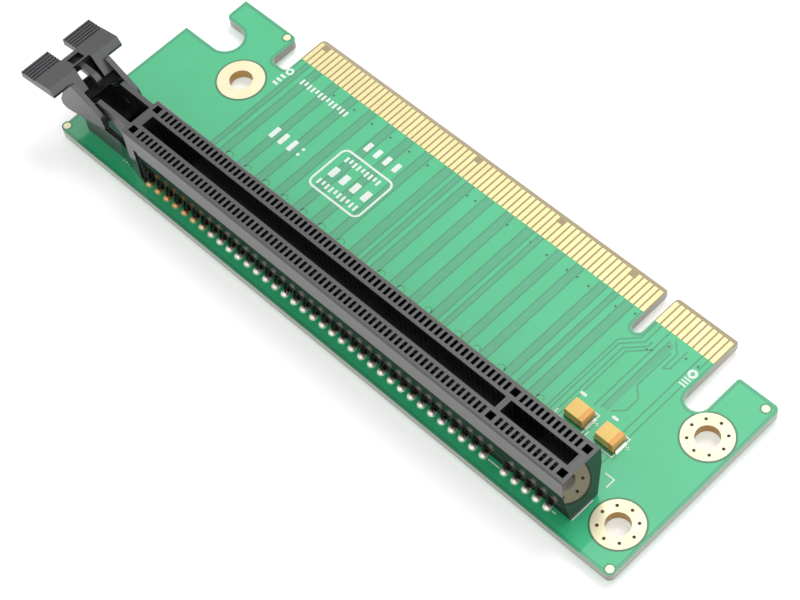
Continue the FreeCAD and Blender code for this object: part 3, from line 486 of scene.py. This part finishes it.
def copper_traces():
    gap_look, step_look, hole_shade_look = range(3)
    copper = bmesh.new()
    for left, right in GAPS:
        block(copper, left + GAP_INSET, GAP_START, right - GAP_INSET, TRACE_END, 0, GAP_TOP, gap_look)
        for x in (left, right):
            line(copper, [(x, STEP_START), (x, TRACE_END)], TRACE_WIDTH, 0, STEP_TOP, step_look)
    for route in ROUTES:
        line(copper, route, TRACE_WIDTH, 0, STEP_TOP, step_look)
    block(copper, *ROUTE_GAP, 0, GAP_TOP, gap_look)
    for x, y in VIAS:
        washer(copper, x, y, VIA_HOLE, VIA_RADIUS, 0, VIA_TOP, steps=14, look=gap_look)
        turned(copper, x, y, [(VIA_HOLE, 0), (VIA_HOLE, VIA_SHADE_TOP)], steps=12, look=hole_shade_look)
    for x in ARCS_X:
        arc = [around(x, ARC_Y, ARC_RADIUS, math.radians(angle)) for angle in range(0, 181, 20)]
        line(copper, arc, ARC_WIDTH, 0, STEP_TOP, step_look)
    piece("copper_traces", "card", (copper_gap, copper_step, hole_painted_shade), copper)


# The copper stops short of the board's outline, so that a darker margin follows it, except on the
# tongue past the mask line, which has no copper area
TONGUE_SPAN = (-0.8, 84)
TONGUE_START = 0.0
# Distances from the outline to both sides of the margin and of the step at its inner edge
MARGIN = (0.03, 0.40)
MARGIN_TOP = 0.006
MARGIN_STEP = (0.36, 0.50)
MARGIN_STEP_TOP = 0.010


def top_outline():
    """The outline of the board's top face: the longest loop of edges that only one top face has."""
    board = nodes["circuit_board"].data
    one_sided = {}
    for polygon in board.polygons:
        corners = [tuple(round(v, 3) for v in datum(board.vertices[i].co)) for i in polygon.vertices]
        if all(abs(z) < 0.002 for x, y, z in corners):
            for a, b in zip(corners, corners[1:] + corners[:1]):
                edge = (a[:2], b[:2])
                if edge[::-1] in one_sided:
                    del one_sided[edge[::-1]]
                else:
                    one_sided[edge] = True
    follow = {a: b for a, b in one_sided}
    loops = []
    while follow:
        path = []
        point = min(follow)
        while point in follow:
            path.append(point)
            point = follow.pop(point)
        loops.append(path)
    return max(loops, key=lambda path: sum(math.dist(a, b) for a, b in zip(path, path[1:])))


def under_mask(point):
    return point[1] <= TONGUE_START + 1e-6 or not TONGUE_SPAN[0] < point[0] < TONGUE_SPAN[1]


def masked_runs(outline):
    """The stretches of the outline under mask, each ended where it crosses the mask line."""
    clipped = []
    for a, b in zip(outline, outline[1:] + outline[:1]):
        clipped.append(a)
        if TONGUE_SPAN[0] < a[0] < TONGUE_SPAN[1] and (a[1] - TONGUE_START) * (b[1] - TONGUE_START) < 0:
            share = (TONGUE_START - a[1]) / (b[1] - a[1])
            clipped.append((a[0] + share * (b[0] - a[0]), TONGUE_START))
    start = next(i for i, point in enumerate(clipped) if not under_mask(point))
    runs = [[]]
    for point in clipped[start:] + clipped[:start]:
        if under_mask(point):
            runs[-1].append(point)
        elif runs[-1]:
            runs.append([])
    return [run for run in runs if len(run) > 1]


def board_margin():
    gap_look, step_look = range(2)
    margin = bmesh.new()
    for run in masked_runs(top_outline()):
        band(margin, run, *MARGIN, 0, MARGIN_TOP, gap_look)
        band(margin, run, *MARGIN_STEP, 0, MARGIN_STEP_TOP, step_look)
    piece("board_margin", "card", (copper_gap, copper_step), margin)


# White print: a plain frame, rings, dots, bars and fields stand where the real board has words
PRINT_TOP = 0.035
PRINT_LINE = 0.2
FRAME = (17.35, -15.85, 27.8, -7.65, 1.1)
FRAME_LINE = 0.36
# Rows of short bars: left, right, low, high and how many
DASH_ROWS = ((18.8, 26.3, -9.6, -8.5, 9), (18.4, 27.0, -15.1, -14.0, 10), (2.75, 13.2, -3.7, -2.6, 13))
DASH_FILL = 0.5
DASH_SHORTER = 0.25
DASH_RADIUS = 0.08
# Rows of fields: the first one's left, low, right, high and corner radius, the way to the next, how many
FIELD_ROWS = (
    ((18.65, -12.9, 19.75, -11.0, 0.15), (2.3, 0.0), 4),
    ((19.35, -6.1, 20.25, -4.4, 0.2), (2.0, 0.0), 4),
    ((6.45, -13.8, 7.3, -11.6, 0.2), (1.95, 0.0), 3),
    ((-0.7, -4.57, 0.3, -4.13, 0.1), (0.0, -0.85), 3),
    ((72.7, -15.85, 73.8, -15.35, 0.2), (5.9, 0.0), 2),
)
# Rings: x, y, inner and outer radius
PRINT_RINGS = ((0.0, -3.05, 0.32, 0.68), (82.35, -3.2, 0.34, 0.76))
# Bars in front of the right ring: left, right and the middle of each
RING_BARS_X = (81.75, 82.95)
RING_BARS_Y = (-4.3, -4.85, -5.4)
RING_BAR_HALF = 0.13
# Dots: x, y, radius and steps
PRINT_DOTS = [(12.6, y, 0.28, 14) for y in (-12.1, -13.3)]
PRINT_DOTS += [(-6.8 + 0.6 * i, -31.6, 0.12, 10) for i in range(4)]
# Beside each capacitor: an open corner line and a small cross, from the capacitor's left end
CAPACITORS_X = (72.1, 77.75)
CORNER = ((4.1, -16.75), (5.15, -16.75), (5.15, -20.5), (0.1, -20.5), (0.1, -19.6))
CROSS = ((5.5, -18.1, 6.1, -17.95), (5.74, -18.3, 5.88, -17.72))
# Lines round the connector's right end
STROKES = (
    (((70.6, -31.95), (72.7, -31.95)), PRINT_LINE),
    (((82.5, -31.95), (83.2, -31.95)), PRINT_LINE),
    (((85.45, -27.0), (85.45, -31.2)), PRINT_LINE),
    (((83.9, -22.85), (85.5, -22.85), (85.5, -24.4)), 0.22),
)


def field(shape, x0, y0, x1, y1, radius):
    """A solid field with rounded corners."""
    corners = rounded(x0, y0, x1, y1, radius, 3)
    loft(shape, [[(x, y, z) for x, y in corners] for z in (0, PRINT_TOP)])


def dashes(shape, x0, x1, y0, y1, count):
    """A row of short bars, every third one shorter."""
    pitch = (x1 - x0) / count
    for i in range(count):
        x = x0 + i * pitch
        low = y0 + (DASH_SHORTER if i % 3 == 1 else 0.0) * (y1 - y0)
        field(shape, x, low, x + DASH_FILL * pitch, y1, DASH_RADIUS)


def board_print():
    marks = bmesh.new()
    line(marks, rounded(*FRAME), FRAME_LINE, 0, PRINT_TOP, closed=True)
    for row in DASH_ROWS:
        dashes(marks, *row)
    for (x0, y0, x1, y1, radius), (dx, dy), count in FIELD_ROWS:
        for i in range(count):
            field(marks, x0 + i * dx, y0 + i * dy, x1 + i * dx, y1 + i * dy, radius)
    for x, y, inner, outer in PRINT_RINGS:
        washer(marks, x, y, inner, outer, 0, PRINT_TOP)
    left, right = RING_BARS_X
    for y in RING_BARS_Y:
        block(marks, left, y - RING_BAR_HALF, right, y + RING_BAR_HALF, 0, PRINT_TOP)
    for x, y, radius, steps in PRINT_DOTS:
        turned(marks, x, y, [(radius, 0), (radius, PRINT_TOP)], steps)
    for x in CAPACITORS_X:
        line(marks, [(x + px, y) for px, y in CORNER], PRINT_LINE, 0, PRINT_TOP)
        for left, low, right, high in CROSS:
            block(marks, x + left, low, x + right, high, 0, PRINT_TOP)
    for path, width in STROKES:
        line(marks, path, width, 0, PRINT_TOP)
    piece("board_print", "card", (print_white,), marks)


# Round alignment marks: a gold dot, as (radius, height), in a darker clearing
MARKS = ((-5.4, 1.4), (93.4, -0.75), (-18.65, -33.1), (94.05, -33.15))
MARK_RADIUS = 0.6
MARK = ((MARK_RADIUS, 0), (MARK_RADIUS, 0.03), (0.57, 0.04))
CLEARING_RADIUS = 0.88
CLEARING_TOP = 0.012
MARK_STEPS = 28


def alignment_marks():
    gold_look, clearing_look = range(2)
    dots = bmesh.new()
    for x, y in MARKS:
        washer(dots, x, y, MARK_RADIUS, CLEARING_RADIUS, 0, CLEARING_TOP, MARK_STEPS, clearing_look)
        turned(dots, x, y, MARK, MARK_STEPS, gold_look)
    piece("alignment_marks", "card", (ring_gold, copper_step), dots)


# Small holes with raised rims in each of the two right rings, each with a dark disc of painted shade inside;
# their profiles are (radius, height)
RING_VIAS = 8
RING_VIA_CIRCLE = 2.85
VIA_RIM = ((0.14, 0.04), (0.26, 0.04), (0.25, 0.062), (0.15, 0.062))
VIA_SHADE_DISC = ((0.14, 0.04), (0.14, 0.055))


def ring_vias():
    rim_look, hole_shade_look = range(2)
    holes = bmesh.new()
    for x, y in RINGS[1:]:
        for i in range(RING_VIAS):
            centre = around(x, y, RING_VIA_CIRCLE, 2 * math.pi * i / RING_VIAS)
            hoop(holes, *centre, VIA_RIM, steps=16, look=rim_look)
            turned(holes, *centre, VIA_SHADE_DISC, steps=12, look=hole_shade_look)
    piece("ring_vias", "card", (contact_gold, hole_painted_shade), holes)


# The connector's long walls lean in from the bright band to the foot
BAND_Z = 7.5
LEDGE_Z = 3.3
WALL_Y = 3.75
FOOT_Y = 2.6
LEAN = 0.14
FOOT_SETBACK = 0.02
GROOVE_RIGHT = -0.75
END_BLOCK = 82.0
RIGHT_END = 85.293
TOWER_RIGHT = -3.25
TOWER_Y = 2.7
CREASE = math.radians(25)
TOLERANCE = 0.01
SLACK = 0.05


def beside_slot(point):
    """x, distance from the connector's middle, z, and the side as -1 or 1."""
    x, y, z = datum(point)
    return x, abs(y - CONNECTOR_Y), z, 1 if y > CONNECTOR_Y else -1


def lean_walls(shell):
    for vert in shell.verts:
        x, off, z, way = beside_slot(vert.co)
        if x < GROOVE_RIGHT or z > BAND_Z + TOLERANCE:
            continue
        wall = abs(off - WALL_Y) < TOLERANCE and (z > LEDGE_Z - SLACK or x > END_BLOCK)
        foot = abs(off - FOOT_Y) < TOLERANCE and z < LEDGE_Z + SLACK
        if wall or foot:
            lean = WALL_Y - LEAN * (BAND_Z - z) - (FOOT_SETBACK if foot else 0)
            vert.co = at(x, CONNECTOR_Y + way * lean, z)
    shell.normal_update()


def share_out_looks(shell):
    # All other faces keep the first look
    wall_look, end_look, tower_look = 1, 2, 3
    for face in shell.faces:
        x, off, z = beside_slot(face.calc_center_median())[:3]
        sideways = abs(face.normal.y) > 0.9
        face.smooth = True
        if sideways and x > GROOVE_RIGHT and off > FOOT_Y - 2 * SLACK and z < BAND_Z:
            face.material_index = wall_look
        elif face.normal.x > 0.9 and x > RIGHT_END - SLACK:
            face.material_index = end_look
        elif sideways and x < TOWER_RIGHT and abs(off - TOWER_Y) < SLACK:
            face.material_index = tower_look
    for edge in shell.edges:
        on_band = all(abs(beside_slot(vert.co)[2] - BAND_Z) < TOLERANCE for vert in edge.verts)
        edge.smooth = not on_band and edge.calc_face_angle(math.pi) < CREASE


def connector_shell():
    shell = bmesh.new()
    shell.from_mesh(nodes["connector_housing"].data)
    bmesh.ops.remove_doubles(shell, verts=shell.verts, dist=1e-7)
    bmesh.ops.bisect_plane(shell, geom=shell.verts[:] + shell.edges[:] + shell.faces[:], dist=1e-7,
                           plane_co=at(0, 0, BAND_Z), plane_no=(0, 0, 1))
    lean_walls(shell)
    share_out_looks(shell)
    mesh = bpy.data.meshes.new("connector_shell")
    shell.to_mesh(mesh)
    shell.free()
    # The node's own stored normals don't fit the new walls
    for extra in [a.name for a in mesh.attributes if a.name.startswith("custom_normal")]:
        mesh.attributes.remove(mesh.attributes[extra])
    for look in (housing_black, housing_low, housing_end, housing_dull):
        mesh.materials.append(look)
    housing = bpy.data.objects.new("connector_shell", mesh)
    bpy.context.collection.objects.link(housing)
    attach(housing, "card")
    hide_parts("connector_housing")


# Web that joins the latch's arms behind and on top, with a rib on its far half, from the pivot; it is near
# black and dull, painted shade for the dark space between the arms
PIVOT_X = -9.007
PIVOT_Z = 8.5
WEB_HALF = 3.02
RIB_START = 0.4
WEB = ((-2.6, 2.2), (-3.0, 2.15), (-5.0, 1.95), (-6.2, 2.15), (-6.8, 1.7), (-7.75, 0.0), (-9.0, -2.3),
       (-9.72, -3.6), (-9.6, -3.85), (-9.3, -3.85), (-9.1, -3.2), (-8.5, -2.0), (-7.3, 0.0), (-6.4, 1.45),
       (-5.0, 1.45), (-3.0, 1.7), (-2.7, 1.85))
RIB = ((-7.5, 2.3), (-7.5, 3.4), (-6.3, 3.4), (-6.3, 2.0), (-6.8, 1.9))


def latch_web():
    web = bmesh.new()
    for section, first, last in ((WEB, -WEB_HALF, WEB_HALF), (RIB, RIB_START, WEB_HALF)):
        loft(web, [[(PIVOT_X + x, CONNECTOR_Y + y, PIVOT_Z + z) for x, z in section] for y in (first, last)])
    piece("latch_web", "latch", (painted_shade_black,), web)


# Soldered tails: an outer and an inner row on each side of the connector, which take turns. Each row is
# the start and the number of tails of its long and its short group.
TAIL_PITCH = 2.0
OUTER_ROW = ((0.0, 36), (74.0, 5))
INNER_ROW = ((1.0, 35), (73.0, 6))
OUTER_REACH = 3.25
INNER_REACH = 1.25
TAIL_HALF_X = 0.2
TAIL_HALF_Y = 0.11
TAIL_HEIGHT = 0.45
SHADE_INWARD = 0.42
DOME_OUTWARD = 0.14
# Profiles of (radius, height): pad, a dark disc of painted shade toward the wall and solder above, cone below
# the board
PAD = ((0.70, 0.0), (0.68, 0.045), (0.60, 0.07))
SHADE = ((0.34, 0.02), (0.34, 0.08), (0.30, 0.085))
DOME = ((0.58, 0.02), (0.58, 0.16), (0.51, 0.33), (0.36, 0.46), (0.15, 0.53))
CONE = ((0.68, 0.0), (0.68, -0.04), (0.52, -0.12), (0.36, -0.32), (0.26, -0.58), (0.20, -0.76),
        (0.08, -0.80))


def places_in(row):
    return [CONNECTOR_X + start + TAIL_PITCH * i for start, count in row for i in range(count)]


def soldered_feet(side, way, places):
    solder_look, shade_look = range(2)
    feet = bmesh.new()
    y = CONNECTOR_Y + way * OUTER_REACH
    for x in places:
        turned(feet, x, y, PAD, steps=20, look=solder_look)
        turned(feet, x, y - way * SHADE_INWARD, SHADE, steps=16, look=shade_look)
        tail = [(x - TAIL_HALF_X, y - TAIL_HALF_Y), (x + TAIL_HALF_X, y - TAIL_HALF_Y),
                (x + TAIL_HALF_X, y + TAIL_HALF_Y), (x - TAIL_HALF_X, y + TAIL_HALF_Y)]
        loft(feet, [[(*corner, z) for corner in tail] for z in (0.0, TAIL_HEIGHT)], solder_look)
        turned(feet, x, y + way * DOME_OUTWARD, DOME, steps=18, look=solder_look)
    piece("soldered_feet_" + side, "card", (solder, hole_painted_shade), feet,
          replaced=("solder_feet_" + side,), smooth=40)


def soldered_tails(side, way, name, reach, places):
    cones = bmesh.new()
    profile = [(radius, BOARD_UNDER + z) for radius, z in CONE]
    for x in places:
        turned(cones, x, CONNECTOR_Y + way * reach, profile, steps=16)
    piece("soldered_tails_%s_%s" % (side, name), "card", (solder,), cones,
          replaced=("solder_tails_%s_%s" % (side, name),), smooth=50)


def all_solder():
    outer = places_in(OUTER_ROW)
    inner = places_in(INNER_ROW)
    for side, way in (("near", -1), ("far", 1)):
        soldered_feet(side, way, outer)
        soldered_tails(side, way, "outer", OUTER_REACH, outer)
        soldered_tails(side, way, "inner", INNER_REACH, inner)


# Floor and light, in metres
FLOOR_HALF = 3
FLOOR_Z = -0.00002
FLOOR_SEEN = 0.40
SKY_SEEN = 1.0
SKY_LIGHT = 0.72
# Reflections see a softbox that is a little brighter toward +X and overhead
SOFTBOX = 1.0
SOFTBOX_WAY = (0.89, 0.06, 0.45)
SOFTBOX_EDGE = (-0.2, 0.35)
LAMP_AIM = Vector((0.0, 0.0, 0.005))


def seen(owner):
    """1 for what the camera sees, directly or in a reflection, and 0 for the light that falls on things."""
    path = new(owner, "ShaderNodeLightPath")
    return calc(owner, "MAXIMUM", path.outputs["Is Camera Ray"],
                calc(owner, "MAXIMUM", path.outputs["Is Glossy Ray"], path.outputs["Is Transmission Ray"]))


def paper_floor():
    half = FLOOR_HALF
    floor_mesh = bpy.data.meshes.new("floor")
    floor_mesh.from_pydata([(-half, -half, 0), (half, -half, 0), (half, half, 0), (-half, half, 0)], [],
                           [(0, 1, 2, 3)])
    floor = bpy.data.objects.new("floor", floor_mesh)
    bpy.context.collection.objects.link(floor)
    floor.location.z = FLOOR_Z
    paper = bpy.data.materials.new("paper")
    paper.use_nodes = True
    sheet = paper.node_tree.nodes["Principled BSDF"]
    for socket, value in (("Base Color", (0.8, 0.8, 0.8, 1.0)), ("Roughness", 0.95),
                          ("Specular IOR Level", 0.0), ("Emission Color", (1.0, 1.0, 1.0, 1.0))):
        sheet.inputs[socket].default_value = value
    join(paper, product(paper, seen(paper), FLOOR_SEEN), sheet.inputs["Emission Strength"])
    floor_mesh.materials.append(paper)


def studio_world():
    world = bpy.data.worlds.new("studio")
    bpy.context.scene.world = world
    world.use_nodes = True
    sky = world.node_tree.nodes["Background"]
    sky.inputs["Color"].default_value = (1.0, 1.0, 1.0, 1.0)
    overhead = new(world, "ShaderNodeVectorMath", operation="DOT_PRODUCT")
    join(world, new(world, "ShaderNodeTexCoord").outputs["Generated"], overhead.inputs[0])
    overhead.inputs[1].default_value = SOFTBOX_WAY
    glow = product(world, step(world, overhead.outputs["Value"], *SOFTBOX_EDGE), SOFTBOX,
                   new(world, "ShaderNodeLightPath").outputs["Is Glossy Ray"])
    plain = calc(world, "MULTIPLY_ADD", seen(world), SKY_SEEN - SKY_LIGHT, SKY_LIGHT)
    join(world, calc(world, "ADD", plain, glow), sky.inputs["Strength"])


def toward_angles(azimuth, elevation):
    return Vector((math.cos(elevation) * math.cos(azimuth), math.cos(elevation) * math.sin(azimuth),
                   math.sin(elevation)))


def lamp(name, azimuth, elevation, distance, size, power):
    data = bpy.data.lights.new(name, "AREA")
    data.shape = "DISK"
    data.size = size
    data.energy = power
    made = bpy.data.objects.new(name, data)
    bpy.context.collection.objects.link(made)
    made.location = LAMP_AIM + distance * toward_angles(math.radians(azimuth), math.radians(elevation))
    made.rotation_euler = (LAMP_AIM - made.location).to_track_quat("-Z", "Y").to_euler()
    made.visible_glossy = False


# Camera, fitted to the photo: angles and a distance in metres from a point on the board. Its focal
# length is in pixels of the photo.
AZIMUTH = math.radians(-36.572)
ELEVATION = math.radians(56.087)
ROLL = math.radians(-9.933)
LOOKED_AT = at(42.945, -21.582)
CAMERA_DISTANCE = 0.32539
FOCAL_PIXELS = 2261.417
PHOTO_WIDTH = 800
SENSOR_WIDTH = 36.0


def photo_camera():
    toward = toward_angles(AZIMUTH, ELEVATION)
    side_way = (-toward).cross(Vector((0, 0, 1))).normalized()
    rise = side_way.cross(-toward)
    right = math.cos(ROLL) * side_way + math.sin(ROLL) * rise
    upward = -math.sin(ROLL) * side_way + math.cos(ROLL) * rise
    turn = Matrix((right, upward, toward)).transposed().to_4x4()
    camera_data = bpy.data.cameras.new("camera")
    camera = bpy.data.objects.new("camera", camera_data)
    bpy.context.collection.objects.link(camera)
    camera.matrix_world = Matrix.Translation(LOOKED_AT + CAMERA_DISTANCE * toward) @ turn
    camera_data.sensor_width = SENSOR_WIDTH
    camera_data.lens = FOCAL_PIXELS / PHOTO_WIDTH * SENSOR_WIDTH
    camera_data.clip_start = 0.01
    bpy.context.scene.camera = camera


copper_traces()
board_margin()
board_print()
alignment_marks()
ring_vias()
connector_shell()
latch_web()
all_solder()
paper_floor()
studio_world()
lamp("key", azimuth=98, elevation=67, distance=0.6, size=0.28, power=1.35)
photo_camera()
bpy.context.scene.view_settings.view_transform = "Standard"
